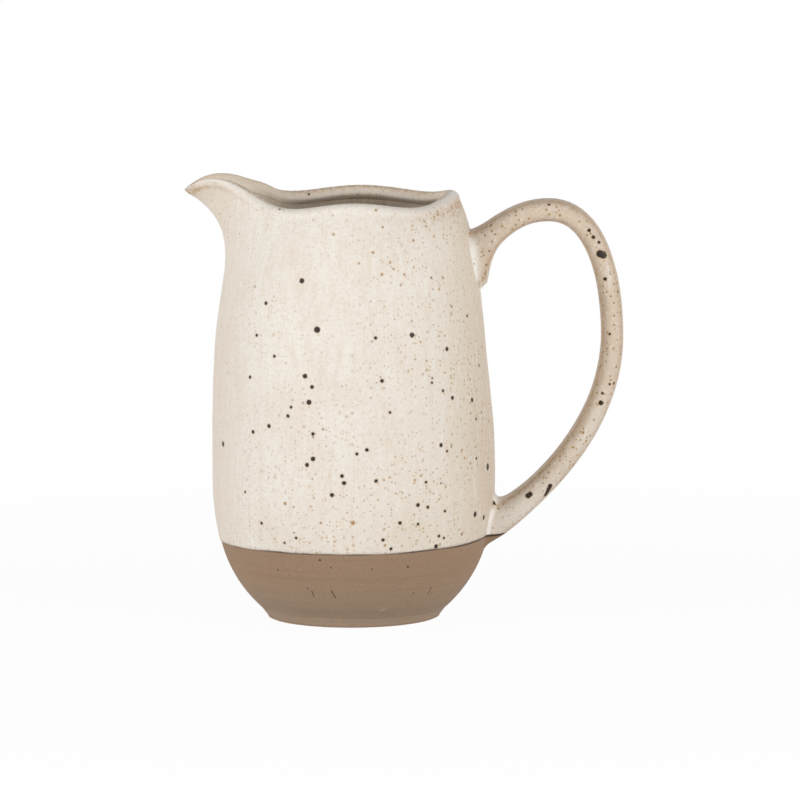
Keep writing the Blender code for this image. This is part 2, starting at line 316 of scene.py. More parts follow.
def maths(tree, operation, first, second=0.0, clamp=False):
    """One arithmetic step."""
    node = add_node(tree, 'ShaderNodeMath', {0: first, 1: second}, operation=operation)
    node.use_clamp = clamp
    return node.outputs[0]


def times(tree, first, second):
    """One number multiplied by another."""
    return maths(tree, 'MULTIPLY', first, second)


def stored(tree, name):
    """The number that a piece keeps for each of its points."""
    return add_node(tree, 'ShaderNodeAttribute', attribute_name=name).outputs["Fac"]


def coordinate(tree, place, axis):
    """A place's distance along one axis."""
    return add_node(tree, 'ShaderNodeSeparateXYZ', {0: place}).outputs[axis]


def ramp(tree, value, low, high, start=0.0, end=1.0):
    """A smooth step as a value goes from low to high."""
    node = add_node(
        tree, 'ShaderNodeMapRange', {0: value, 1: low, 2: high, 3: start, 4: end},
        interpolation_type='SMOOTHSTEP')
    return node.outputs[0]


def blend(tree, share, under, over):
    """One colour laid over another."""
    node = add_node(tree, 'ShaderNodeMix', data_type='RGBA')
    for socket, value in ((0, share), (6, under), (7, over)):
        if isinstance(value, bpy.types.NodeSocket):
            tree.links.new(value, node.inputs[socket])
        else:
            node.inputs[socket].default_value = value if socket == 0 else (*value, 1)
    return node.outputs[2]


def lay(tree, under, over, value, low, high, share=1.0):
    """One colour laid over another as a value goes from low to high, up to a share."""
    return blend(tree, ramp(tree, value, low, high, 0.0, share), under, over)


def clouds(tree, place, scale, detail=2.0):
    """Soft noise between 0 and 1."""
    node = add_node(
        tree, 'ShaderNodeTexNoise', {"Vector": place, "Scale": scale, "Detail": detail})
    return node.outputs["Fac"]


def stretch(tree, place, scale):
    """Coordinates scaled by axis, so that a pattern draws out."""
    return add_node(tree, 'ShaderNodeMapping', {"Vector": place, "Scale": scale}).outputs[0]


def specks(tree, place, spacing, share, size, behind=-1.0):
    """Scattered round specks, 1 in a speck and 0 outside, in a share of the cells past a +Y."""
    cells = add_node(tree, 'ShaderNodeTexVoronoi', {"Vector": place, "Scale": 1 / spacing})
    lot = add_node(tree, 'ShaderNodeSeparateColor', {0: cells.outputs["Color"]}).outputs[0]
    chosen = ramp(tree, lot, 1 - share, 1.0, SMALLEST_SPECK, 1.0)
    chosen = times(tree, chosen, maths(tree, 'GREATER_THAN', lot, 1 - share))
    middle = coordinate(tree, cells.outputs["Position"], "Y")
    chosen = times(tree, chosen, maths(tree, 'GREATER_THAN', middle, behind))
    reach = times(tree, chosen, size / spacing)
    inside = maths(tree, 'SUBTRACT', reach, cells.outputs["Distance"])
    return ramp(tree, inside, 0.0, SPECK_SOFTNESS * size / spacing)


def marks(tree, place, spots):
    """Depth inside the nearest of some given spots or strokes, in metres."""
    deepest = -1.0
    for start, end, radius in spots:
        run = end - start
        if run.length == 0:
            nearest = start
        else:
            away = add_node(
                tree, 'ShaderNodeVectorMath', {0: place, 1: start}, operation='SUBTRACT')
            share = add_node(
                tree, 'ShaderNodeVectorMath',
                {0: away.outputs[0], 1: run / run.length_squared}, operation='DOT_PRODUCT')
            share = maths(tree, 'ADD', share.outputs["Value"], 0.0, clamp=True)
            nearest = add_node(
                tree, 'ShaderNodeVectorMath', {0: run, 1: share, 2: start},
                operation='MULTIPLY_ADD').outputs[0]
        gap = add_node(
            tree, 'ShaderNodeVectorMath', {0: place, 1: nearest}, operation='DISTANCE')
        inside = maths(tree, 'SUBTRACT', radius, gap.outputs["Value"])
        deepest = maths(tree, 'MAXIMUM', inside, deepest)
    return deepest


def from_front(piece, spots):
    """Spots given as (x, z, radius) or (x, z, x, z, radius) in mm, dropped on a piece from -Y."""
    placed = []
    for *ends, radius in spots:
        ends = ends if len(ends) == 4 else ends * 2
        found = []
        for x, z in (ends[:2], ends[2:]):
            hit, place, *rest = piece.ray_cast(Vector((x / 1000, -1, z / 1000)), Vector((0, 1, 0)))
            found.append(place)
        placed.append((*found, radius / 1000))
    return placed


def new_finish(name, roughness):
    """A material with its shader, its node tree and the piece's own coordinates."""
    material = bpy.data.materials.new(name)
    material.use_nodes = True
    tree = material.node_tree
    shader = tree.nodes["Principled BSDF"]
    shader.inputs["Roughness"].default_value = roughness
    place = tree.nodes.new('ShaderNodeTexCoord').outputs["Object"]
    return material, tree, shader, place


def clay_colour(tree, place):
    """Bare clay: brown with redder clouds, greyer low down and painted light on the foot, with
    throwing lines and grit.
    """
    height = coordinate(tree, place, "Z")
    colour = lay(tree, CLAY_BROWN, CLAY_GREY, height, 0.024, 0.008)
    colour = lay(tree, colour, CLAY_RED, clouds(tree, place, 60), 0.45, 0.75, 0.35)
    # Painted light: the foot is painted paler, standing in for light that the lamps don't give it.
    colour = lay(tree, colour, CLAY_PALE, height, 0.0070, 0.0030, 0.34)
    colour = lay(tree, colour, CLAY_RED, height, 0.0014, 0.0002, 0.7)
    rings = clouds(tree, stretch(tree, place, (9, 9, 700)), 1.0, 3.0)
    colour = lay(tree, colour, CLAY_DARK, rings, 0.40, 0.68, 0.07)
    grain = clouds(tree, place, 2400, 1.0)
    colour = lay(tree, colour, CLAY_DARK, grain, 0.50, 0.75, 0.22)
    colour = lay(tree, colour, CLAY_PALE, grain, 0.48, 0.28, 0.16)
    grit = specks(tree, place, spacing=0.0042, share=0.35, size=0.0006)
    return blend(tree, times(tree, grit, 0.7), colour, CLAY_DARK), rings, grain


def roughen(tree, shader, strength, distance, height):
    """Fine relief from a noise."""
    bump = add_node(
        tree, 'ShaderNodeBump', {"Strength": strength, "Distance": distance, "Height": height})
    tree.links.new(bump.outputs[0], shader.inputs["Normal"])


bare_clay, tree, shader, place = new_finish("bare_clay", CLAY_ROUGHNESS)
colour, rings, grain = clay_colour(tree, place)
towards_handle = ramp(tree, coordinate(tree, place, "X"), 0.0, 0.03)
patchy = ramp(tree, clouds(tree, place, BURN_SCALE), 0.38, 0.66, 0.20, 0.95)
patchy = maths(tree, 'MAXIMUM', patchy, towards_handle)
line_low = ramp(tree, towards_handle, 0.0, 1.0, -0.00065, -0.00125)
line_high = times(tree, line_low, 0.6)
burnt = times(tree, ramp(tree, stored(tree, "above_edge"), line_low, line_high), patchy)
colour = blend(tree, burnt, colour, CLAY_DARK)
scratches = from_front(clay, [
    (-29.5, 17.5, -27.9, 14.4, 0.32), (-37.6, 17.2, -36.8, 14.6, 0.26), (-39.2, 18.2, 0.40),
    (11.2, 17.0, 9.6, 13.8, 0.24), (-33.9, 30.9, 0.60), (1.9, 27.4, 0.60), (-51.5, 25.5, 0.45)])
scratched = ramp(tree, marks(tree, place, scratches), -0.0001, 0.00012)
colour = blend(tree, times(tree, scratched, 0.8), colour, CLAY_DARK)
chips = from_front(clay, [(-9.6, 8.2, -7.6, 8.8, 0.22), (-42.5, 26.4, 0.25)])
colour = lay(tree, colour, CLAY_PALE, marks(tree, place, chips), -0.0001, 0.0001)
tree.links.new(colour, shader.inputs["Base Color"])
relief = maths(tree, 'ADD', rings, grain)
roughen(tree, shader, strength=0.35, distance=0.0004, height=relief)
clay.data.materials.append(bare_clay)
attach(clay, "root")
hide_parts("clay_body")

# Foot. A low ring trimmed from the same clay once the pot is leather hard. It lifts the floor
# clear of the table, and its standing edge is wiped smooth and softly rounded.
FOOT_RADIUS = 0.0362
FOOT_TOP_RADIUS = 0.0398
FOOT_WIDTH = 0.0080
FOOT_HEIGHT = 0.0056
FOOT_EDGE = 0.0009
FOOT_CORNER = 0.3 * FOOT_EDGE

foot_inner = FOOT_RADIUS - FOOT_WIDTH
foot_side = Vector((FOOT_RADIUS, FOOT_EDGE))
foot_top = Vector((FOOT_TOP_RADIUS, FOOT_HEIGHT))
foot_line = [
    Vector((foot_inner, FOOT_EDGE)), Vector((foot_inner + FOOT_CORNER, FOOT_CORNER)),
    Vector((foot_inner + FOOT_EDGE, 0)), Vector((FOOT_RADIUS - FOOT_EDGE, 0)),
    Vector((FOOT_RADIUS - FOOT_CORNER, FOOT_CORNER)), foot_side,
    *(foot_side.lerp(foot_top, share) for share in (0.2, 0.6, 0.95, 1.0)),
    Vector((foot_inner, FOOT_HEIGHT)), Vector((foot_inner, FOOT_EDGE)),
]
foot = turn_on_wheel("foot", foot_line)
keep_edge_distance(foot)
foot.data.materials.append(bare_clay)
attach(foot, "root")
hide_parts("foot_ring")

# Outer glaze. A satin cream coat, poured over the outside and the lip and wiped off along a line
# above the foot, where its edge stands up as a thin bead. Iron in the clay bleeds through as
# specks and spots, and the coat breaks to brown where it runs thin over edges. Painted shade
# darkens its sides, the crease under the lip and the lip's inside at the spout and handle, and
# painted highlights brighten the lip's crest, the spout and the lip's inside.
EDGE_FADE = 0.02
LIP_SPAN = 0.75
TIP_SPAN = 0.33
LIP_INSIDE = (85, 300)
LIP_TAN_SPAN = (85, 110)
CREASE_REACH = 0.0005
CREASE_SHADE_HEIGHT = CREASE_HEIGHT + 0.0012
CREASE_SHADE_WIDTH = 0.0008
CREAM = (0.840, 0.780, 0.703)
CREAM_WARM = (0.745, 0.650, 0.530)
CREAM_PALE = (0.900, 0.860, 0.800)
SIDE_SHADE_TAN = (0.635, 0.520, 0.400)
LIP_TAN = (0.950, 0.775, 0.585)
TAN_SPECK = (0.50, 0.315, 0.125)
RUST_SPECK = (0.38, 0.215, 0.065)
BROWN_SPECK = (0.20, 0.105, 0.045)
IRON_BLACK = (0.024, 0.014, 0.010)
THIN_GLAZE_AND_SHADE_BROWN = (0.45, 0.270, 0.125)
CREASE_SHADE = (0.085, 0.060, 0.043)
GLAZE_ROUGHNESS = 0.50
GLAZE_SHINE = 0.25


def offset(line, distance):
    """A (radius, height) line moved to its right by a distance."""
    moved = []
    for index, point in enumerate(line):
        along = line[min(index + 1, len(line) - 1)] - line[max(index - 1, 0)]
        moved.append(point + Vector((along.y, -along.x)).normalized() * distance)
    return moved


under_line = outer_line(GLAZE_EDGE, rows=50) + lip_line(rows=10)
over_line = offset(outer_line(GLAZE_EDGE, rows=100) + lip_line(rows=30), GLAZE)
bead_foot = over_line[0] - Vector((0.5 * GLAZE, 0))
coat_line = [under_line[0], bead_foot] + over_line + under_line[::-1]
coat = turn_on_wheel("outer_glaze_coat", coat_line)
thin_glaze_and_shade, crease, lip_tan_and_painted_shade, pooled_glaze_and_highlight = [], [], [], []
for vertex in coat.data.vertices:
    x, y, z = vertex.co
    radius = math.hypot(x - AXIS_X, y)
    turn = wall_turn(x, y)
    shift = glaze_edge(AXIS_X - math.cos(turn), math.sin(turn)) - GLAZE_EDGE
    shift *= max(0.0, 1 - (z - GLAZE_EDGE) / EDGE_FADE)
    spread = 1 + (wall_radius(z + shift) - wall_radius(z)) / radius
    vertex.co = work_wall(Vector((AXIS_X + (x - AXIS_X) * spread, y * spread, z + shift)))
    over = math.degrees(math.atan2(z - LIP_HEIGHT, radius - LIP_RADIUS)) % 360
    outside = (over + 180) % 360 - 180
    at_spout = bell(turn, 0, LIP_SPAN)
    at_handle = bell(abs(turn), math.pi, LIP_SPAN)
    rubbed = bell(turn, 0.19, 0.14)
    crest = 0.70 * at_spout * bell(over, 92, 7) + 0.72 * bell(over, 112, 20)
    crest *= 1 - 0.95 * rubbed
    band = 8 + 22 * bell(turn, 0, 0.15)
    smudge = 0.68 * bell(turn, 0, TIP_SPAN) * bell(outside, band, 9)
    smudge += 0.80 * bell(turn, 0, 0.11) * bell(over, 55, 40)
    smudge += 0.85 * at_handle * bell(outside, -6, 32)
    # Painted shade on the lip's inside at the spout and handle ends, carried with the thin glaze.
    inside = 0.30 * at_spout * (1 - 0.6 * rubbed) * bell(over, 145, 35)
    inside += 0.25 * at_handle * bell(over, 150, 30)
    thin_glaze_and_shade.append(min(1.0, crest + smudge + inside))
    at_lip = z > CREASE_HEIGHT - CREASE_REACH and LIP_INSIDE[0] < over < LIP_INSIDE[1]
    # Painted shade in the crease under the lip.
    under_lip = thickened(turn) * bell(z, CREASE_SHADE_HEIGHT, CREASE_SHADE_WIDTH)
    crease.append(under_lip if at_lip else 0.0)
    # Warm tan on the lip's inner side: partly the glaze's tone, partly painted light on the far
    # lip.
    tan_and_shade_share = part_way(over, *LIP_TAN_SPAN) * (1 - 0.4 * at_spout)
    lip_tan_and_painted_shade.append(tan_and_shade_share if at_lip else 0.0)
    # Painted highlights, partly paler pooled glaze: under the spout's crest, along the outer crest
    # and over the rim at the handle, and a painted light band on the lip's inside.
    pale = 0.5 * bell(turn, 0, 0.5) * bell(over, 55, 18)
    pale += (0.15 + 0.60 * at_handle) * bell(over, 68, 16)
    pale += 0.40 * (1 - at_spout) * bell(over, 162, 18)
    pooled_glaze_and_highlight.append(min(0.9, pale))
keep_values(coat, "thin_glaze_and_shade", thin_glaze_and_shade)
keep_values(coat, "crease", crease)
keep_values(coat, "lip_tan_and_painted_shade", lip_tan_and_painted_shade)
keep_values(coat, "pooled_glaze_and_highlight", pooled_glaze_and_highlight)
keep_edge_distance(coat)


def glaze_finish(name, cream, warm_cream, tan_and_shade_colour, iron_spots, brown_spots):
    """Satin cream glaze with its specks, spots and brown edges, and painted shade and highlights.
    """
    material, tree, shader, place = new_finish(name, GLAZE_ROUGHNESS)
    shader.inputs["Specular IOR Level"].default_value = GLAZE_SHINE
    x, z = coordinate(tree, place, "X"), coordinate(tree, place, "Z")
    side = maths(tree, 'SUBTRACT', x, times(tree, z, 0.25))
    # Painted shade: warmer, darker cream towards the handle side and lower down.
    colour = lay(tree, cream, warm_cream, side, -0.055, 0.020, 0.55)
    aside = maths(tree, 'SUBTRACT', x, AXIS_X)
    # Painted shade: tan towards the spout side and, stronger, towards the handle side and over the
    # strap.
    colour = lay(tree, colour, SIDE_SHADE_TAN, aside, -0.038, -0.060, 0.50)
    colour = lay(tree, colour, SIDE_SHADE_TAN, aside, 0.036, 0.058, 0.85)
    # Tan on the lip's inner side, partly glaze tone and partly painted light; on the strap,
    # painted shade.
    tan_and_shade_share = times(tree, stored(tree, "lip_tan_and_painted_shade"), 0.85)
    colour = blend(tree, tan_and_shade_share, colour, tan_and_shade_colour)
    pale_cream = tuple((low + high) / 2 for low, high in zip(cream, CREAM_PALE))
    tone = clouds(tree, place, 38, 3.0)
    colour = lay(tree, colour, warm_cream, tone, 0.42, 0.78, 0.45)
    flow = clouds(tree, stretch(tree, place, (420, 420, 60)), 1.0, 2.0)
    colour = lay(tree, colour, warm_cream, flow, 0.50, 0.75, 0.50)
    colour = lay(tree, colour, pale_cream, flow, 0.48, 0.25, 0.45)
    mottle = clouds(tree, place, 900, 2.0)
    colour = lay(tree, colour, warm_cream, mottle, 0.48, 0.70, 0.50)
    colour = lay(tree, colour, pale_cream, mottle, 0.48, 0.28, 0.50)
    # Paler cream where the glaze pools, and painted highlights.
    colour = blend(tree, stored(tree, "pooled_glaze_and_highlight"), colour, CREAM_PALE)
    dense = ramp(tree, side, -0.095, -0.005, 0.40, 1.0)
    patches = ramp(tree, clouds(tree, place, 30, 1.0), 0.32, 0.60, 0.35, 1.0)
    strength = times(tree, dense, patches)
    for spacing, share, size, depth, speck in (
            (0.0014, 0.60, 0.00064, 0.65, TAN_SPECK), (0.0025, 0.45, 0.00082, 0.80, TAN_SPECK),
            (0.0040, 0.40, 0.00080, 0.85, BROWN_SPECK)):
        flecks = specks(tree, place, spacing, share, size)
        flecks = times(tree, flecks, times(tree, strength, depth))
        colour = blend(tree, flecks, colour, speck)
    # Brown where the glaze runs thin over edges, with painted shade on the lip's inside and the
    # strap's top.
    broken = ramp(tree, clouds(tree, place, 700, 3.0), 0.30, 0.62, 0.15, 1.0)
    colour = blend(tree, times(tree, stored(tree, "thin_glaze_and_shade"), broken), colour, THIN_GLAZE_AND_SHADE_BROWN)
    # Painted shade in the crease under the lip.
    colour = blend(tree, times(tree, stored(tree, "crease"), 0.62), colour, CREASE_SHADE)
    wobble = maths(tree, 'SUBTRACT', clouds(tree, place, 1500, 1.0), 0.5)
    wobble = times(tree, wobble, 0.0005)
    if brown_spots:
        depth = maths(tree, 'ADD', marks(tree, place, brown_spots), wobble)
        colour = lay(tree, colour, TAN_SPECK, depth, -0.0005, 0.0001, 0.40)
        colour = lay(tree, colour, RUST_SPECK, depth, -0.0003, 0.0003, 0.85)
    scattered = specks(tree, place, spacing=0.0085, share=0.40, size=0.0021, behind=0.0065)
    depth = maths(tree, 'ADD', marks(tree, place, iron_spots), wobble)
    halo = times(tree, ramp(tree, depth, -0.0007, 0.0), 0.45)
    colour = blend(tree, halo, colour, TAN_SPECK)
    spots = maths(tree, 'MAXIMUM', ramp(tree, depth, -0.00022, 0.00016), scattered)
    colour = blend(tree, spots, colour, IRON_BLACK)
    relief = clouds(tree, place, 260, 3.0)
    roughen(tree, shader, strength=0.12, distance=0.0006, height=relief)
    return material, tree, shader, place, colour


body_iron = from_front(coat, [
    (-40.8, 145.0, 1.0), (-55.8, 135.2, 0.75), (-34.5, 125.5, 1.25), (-59.7, 122.0, 0.65),
    (-52.2, 114.1, 0.65), (-62.6, 104.7, 0.65), (-39.5, 106.6, 0.95), (-36.6, 102.3, 0.75),
    (-37.9, 96.1, 1.05), (-45.3, 93.8, 0.6), (-46.6, 90.1, 0.7), (-54.6, 85.5, 0.8),
    (-61.4, 82.4, 0.75), (-74.8, 75.2, 1.05), (-36.3, 83.2, 0.7),
    (-36.3, 73.0, 0.9), (-38.8, 70.4, 0.8), (-18.4, 75.2, 0.6), (-14.3, 76.8, 0.7),
    (-24.5, 66.2, 0.7), (-23.7, 63.3, 0.8), (-28.6, 58.4, 0.8), (-65.0, 57.2, 0.5),
    (-58.1, 45.1, 0.6), (-43.6, 40.0, 0.55), (-48.4, 37.6, 0.45), (4.0, 122.7, 1.0),
    (-10.7, 122.1, 0.65), (-8.1, 104.7, 0.75), (18.0, 115.9, 0.85), (26.1, 128.1, 0.55),
    (30.9, 106.9, 0.55), (12.0, 102.8, 0.5), (16.4, 99.1, 0.6), (20.2, 95.8, 0.75),
    (28.1, 93.7, 0.85), (-4.9, 91.8, 0.55), (29.7, 85.6, 0.55), (15.6, 77.1, 0.8),
    (18.0, 74.4, 0.5), (29.8, 69.5, 0.55), (34.4, 64.6, 1.40), (-10.7, 64.0, 0.7),
    (9.5, 62.5, 0.55), (6.2, 53.3, 0.8), (10.2, 52.1, 0.65), (17.1, 49.7, 0.6),
    (29.2, 46.2, 1.15), (32.7, 43.8, 1.05), (-1.1, 46.3, 0.7), (6.2, 45.4, 0.55),
    (-8.0, 39.5, 0.65), (-4.8, 35.6, 0.6), (14.6, 39.5, 0.6), (16.6, 38.4, 0.5),
    (13.4, 35.2, 0.9), (-50.4, 173.0, 0.40)])
far_lip_spot = Vector((-0.0411, 0.0325, 0.1741))
body_iron.append((far_lip_spot, far_lip_spot, 0.0006))
body_brown = from_front(coat, [
    (-48.0, 54.1, 0.65), (-20.1, 46.9, 0.80), (-33.3, 46.8, 0.45), (24.0, 74.0, 0.50),
    (-10.7, 173.3, 0.50), (14.1, 171.4, 0.45), (14.3, 170.0, 0.45), (12.7, 169.2, 0.45),
    (8.7, 168.0, 0.40), (9.5, 166.0, 0.40), (4.5, 160.7, 0.50), (-11.8, 156.5, 0.50),
    (-8.1, 147.7, 0.55), (0.9, 147.3, 0.45), (16.3, 144.9, 0.50), (-27.8, 163.8, 0.45),
    (-17.4, 152.3, 0.40), (-4.9, 152.4, 0.45), (-3.5, 149.7, 0.40), (-60.6, 141.4, 0.40),
    (-7.9, 166.5, 0.40), (19.9, 171.8, 0.40), (-7.3, 37.2, 0.45)])
speckled_cream, tree, shader, place, colour = glaze_finish(
    "speckled_cream", CREAM, CREAM_WARM, LIP_TAN, body_iron, body_brown)
drips = marks(tree, place, from_front(coat, [(-62.6, 38.4, -62.2, 35.6, 0.9)]))
colour = lay(tree, colour, CREAM_PALE, drips, -0.0008, 0.0004, 0.6)
patchy = ramp(tree, clouds(tree, place, BURN_SCALE), 0.38, 0.66, 0.15, 0.80)
burnt = times(tree, ramp(tree, stored(tree, "above_edge"), 0.00040, 0.00005), patchy)
colour = blend(tree, burnt, colour, CLAY_DARK)
tree.links.new(colour, shader.inputs["Base Color"])
coat.data.materials.append(speckled_cream)
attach(coat, "root")
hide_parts("outer_glaze")

# Inner glaze. The same cream poured inside and swirled round, greyer and darker towards the
# floor. It starts in the crease under the lip, with painted shade there, and follows the throwing
# rings down to the floor.
LINER_LAP = 0.0003
THROWING_RING = 0.00022
RING_PITCH = 0.0085
RINGS_LOW = (0.020, 0.040)
RINGS_HIGH = (0.158, 0.138)
CREASE_SHADE_TURN = (1.5, 0.9)
CREASE_SHADE_DEPTH = 0.0009
INNER_CREAM = (0.860, 0.725, 0.575)
INNER_TAN = (0.660, 0.545, 0.425)
LOW_INSIDE_GREY = (0.60, 0.54, 0.46)

liner_height = CREASE_HEIGHT + LINER_LAP
liner_top = Vector((wall_radius(liner_height) - WALL, liner_height))
liner_under = [liner_top] + inner_line(rows=40)
liner_over = offset([liner_top] + inner_line(rows=150), GLAZE)
liner_over[-1].x = 0
liner = turn_on_wheel("inner_glaze_coat", liner_over + liner_under[::-1])
crease = []
for vertex in liner.data.vertices:
    x, y, z = vertex.co
    spiral = math.atan2(y, x - AXIS_X) / (2 * math.pi)
    swell = THROWING_RING * math.cos(2 * math.pi * (z / RING_PITCH + spiral))
    swell *= min(part_way(z, *RINGS_LOW), part_way(z, *RINGS_HIGH))
    outwards = Vector((x - AXIS_X, y)).normalized() * swell
    vertex.co = work_wall(Vector((x + outwards.x, y + outwards.y, z)))
    turn = wall_turn(x, y)
    # Painted shade in the crease under the lip, at the liner's top.
    below_lip = thickened(turn) * bell(z, CREASE_HEIGHT, CREASE_SHADE_DEPTH)
    crease.append(0.45 * part_way(turn, *CREASE_SHADE_TURN) * below_lip)
keep_values(liner, "crease", crease)
inner_cream, tree, shader, place, colour = glaze_finish(
    "inner_cream", INNER_CREAM, INNER_TAN, INNER_TAN, [], [])
# Greyer and darker towards the floor.
low_inside = ramp(tree, coordinate(tree, place, "Z"), 0.060, 0.012, 0.15, 0.55)
colour = blend(tree, low_inside, colour, LOW_INSIDE_GREY)
tree.links.new(colour, shader.inputs["Base Color"])
liner.data.materials.append(inner_cream)
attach(liner, "root")
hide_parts("liner_glaze")

# Strap handle. A pulled strap of the same clay, set on the leather-hard wall with slip, with soft
# clay worked into a fillet round each joint. It is glazed with the body, and the web under the
# lower joint that hangs below the glaze line stays bare. Its glaze is painted darker than the
# body's as painted shade, most on its inner side, its top and the corner at the upper joint, with
# painted highlights along the joints.
STRAP_UPPER_HEIGHT = 0.1522
STRAP_UPPER_RUN = 0.0126
STRAP_UPPER_RISE = 0.0127
STRAP_TOP_HEIGHT = 0.1698
STRAP_TOP_OFFSET = 0.0319
STRAP_TOP_ROUND_IN = 0.0112
STRAP_TOP_ROUND_OUT = 0.0190
STRAP_OUTER_HEIGHT = 0.1179
STRAP_OUTER_OFFSET = 0.0495
STRAP_ROUND_ABOVE = 0.0256
STRAP_ROUND_BELOW = 0.0391
STRAP_LOWER_HEIGHT = 0.0386
STRAP_LOWER_RUN = 0.0189
STRAP_LOWER_RISE = 0.0105
STRAP_THICKNESS = 0.0093
STRAP_LOW_THICKNESS = 0.0106
STRAP_WIDTH = 0.0196
STRAP_SQUARE = 2.5
STRAP_UNEVEN = 0.02
UNEVEN_ALONG = 60
UNEVEN_ROUND = 0.7
ROOT_THICKENING = 0.0027
ROOT_LENGTH = 0.0160
JOINT_LENGTH = 0.0130
JOINT_DEPTH = 0.0160
UPPER_JOINT_CLAY = 0.0105
LOWER_JOINT_CLAY = 0.0002
UPPER_JOINT_SPREAD = 0.1
LOWER_JOINT_SPREAD = 0.4
JOINT_EDGE = 0.0003
JOINT_HOLD = -0.0042
JOINT_SINK = 0.00012
UPPER_FILLET = {"over": 0.0022, "beside": 0.0046, "under": 0.0017}
LOWER_FILLET = {"over": 0.0030, "beside": 0.0026, "under": 0.0078}
FREE_START = 0.0240
PATH_STEP = 0.0006
RING_POINTS = 64
STRAP_ROWS = 110
RIB_ROWS = 12
FILLET_ROWS = 8
HALVINGS = 30
ROW_RISE = 0.001

upper = Vector((wall_radius(STRAP_UPPER_HEIGHT), STRAP_UPPER_HEIGHT))
lower = Vector((wall_radius(STRAP_LOWER_HEIGHT), STRAP_LOWER_HEIGHT))
upper_lead = Vector((STRAP_UPPER_RUN, STRAP_UPPER_RISE))
lower_lead = Vector((STRAP_LOWER_RUN, STRAP_LOWER_RISE))
top = Vector((upper.x + STRAP_TOP_OFFSET, STRAP_TOP_HEIGHT))
outer = Vector((BELLY_RADIUS + STRAP_OUTER_OFFSET, STRAP_OUTER_HEIGHT))
path = [upper - upper_lead.normalized() * JOINT_DEPTH]
path += interpolate_bezier(
    upper, upper + upper_lead, top - Vector((STRAP_TOP_ROUND_IN, 0)), top, 80)
path += interpolate_bezier(
    top, top + Vector((STRAP_TOP_ROUND_OUT, 0)), outer + Vector((0, STRAP_ROUND_ABOVE)),
    outer, 80)[1:]
path += interpolate_bezier(
    outer, outer - Vector((0, STRAP_ROUND_BELOW)), lower + lower_lead, lower, 120)[1:]
path.append(lower - lower_lead.normalized() * JOINT_DEPTH)
path = np.array([point[:2] for point in path])
steps = np.linalg.norm(np.diff(path, axis=0), axis=1)
reach = np.concatenate([[0], np.cumsum(steps)]) - JOINT_DEPTH
strap_length = reach[-1] - JOINT_DEPTH


def path_point(distance):
    """The middle of the strap, out from the jug's axis and up, at a distance along it."""
    return Vector([np.interp(distance, reach, path[:, axis]) for axis in (0, 1)])


def strap_point(distance, turn, spread=0.0):
    """A point on the strap's skin: how far past the upper joint, and where round the section."""
    centre = path_point(distance)
    along = (path_point(distance + PATH_STEP) - path_point(distance - PATH_STEP)).normalized()
    run = part_way(distance, 0, strap_length)
    nearest = min(distance, strap_length - distance)
    root = ROOT_THICKENING * bell(max(0.0, nearest), 0, ROOT_LENGTH)
    fade = part_way(max(JOINT_HOLD, nearest), JOINT_LENGTH, -JOINT_DEPTH / 2)
    at_upper = distance < strap_length / 2
    clay_built = UPPER_JOINT_CLAY if at_upper else LOWER_JOINT_CLAY
    growth = clay_built * fade ** 2 + JOINT_EDGE * fade
    thickness = STRAP_THICKNESS + (STRAP_LOW_THICKNESS - STRAP_THICKNESS) * max(0.0, 2 * run - 1)
    half_thick = (thickness + root) / 2 + growth + spread
    widening = UPPER_JOINT_SPREAD * growth if at_upper else root / 2 + LOWER_JOINT_SPREAD * growth
    half_wide = STRAP_WIDTH / 2 + widening + spread
    bend, side = math.cos(turn), math.sin(turn)
    squared = 2 / STRAP_SQUARE
    spot = Vector((distance * UNEVEN_ALONG, UNEVEN_ROUND * bend, UNEVEN_ROUND * side))
    uneven = 1 + STRAP_UNEVEN * noise.noise(spot)
    across = uneven * half_thick * math.copysign(abs(bend) ** squared, bend)
    sideways = uneven * half_wide * math.copysign(abs(side) ** squared, side)
    return Vector((AXIS_X + centre.x - along.y * across, sideways, centre.y + along.x * across))


def outside_wall(point, sink=0.0):
    """How far a point stands out of the glazed wall, along the wall's radius."""
    across = point.x - AXIS_X + lean(point.z)
    turn = math.atan2(point.y, -across)
    coating = GLAZE if point.z > glaze_edge(point.x, point.y) else 0.0
    radius = wall_radius(point.z) + coating + dent(turn, point.z) - sink
    return math.hypot(across, point.y) - radius


def onto_wall(point, sink):
    """A point moved along the wall's radius to just under the glazed surface."""
    across = point.x - AXIS_X + lean(point.z)
    away = outside_wall(point, sink) / math.hypot(across, point.y)
    return Vector((point.x - across * away, point.y * (1 - away), point.z))


def joint_rib(end, inwards, turn, over, beside, under):
    """One line of the skin from the free strap into the wall, with a fillet at its foot."""
    up = math.cos(turn)
    fillet = beside + (over - beside) * max(0.0, up) ** 2 + (under - beside) * max(0.0, -up) ** 2
    near, far = 0.0, FREE_START + JOINT_DEPTH
    for halving in range(HALVINGS):
        middle = (near + far) / 2
        if outside_wall(strap_point(end + inwards * middle, turn)) > 0:
            near = middle
        else:
            far = middle
    run = inwards * max(0.0, near - fillet)
    rib = [strap_point(end + run * row / RIB_ROWS, turn) for row in range(1, RIB_ROWS + 1)]
    start = rib[-1]
    corner = strap_point(end + inwards * near, turn)
    landing = onto_wall(strap_point(end + inwards * near, turn, fillet), JOINT_SINK)
    for row in range(1, FILLET_ROWS + 1):
        share = row / FILLET_ROWS
        rib.append(start.lerp(corner, share).lerp(corner.lerp(landing, share), share))
    return rib


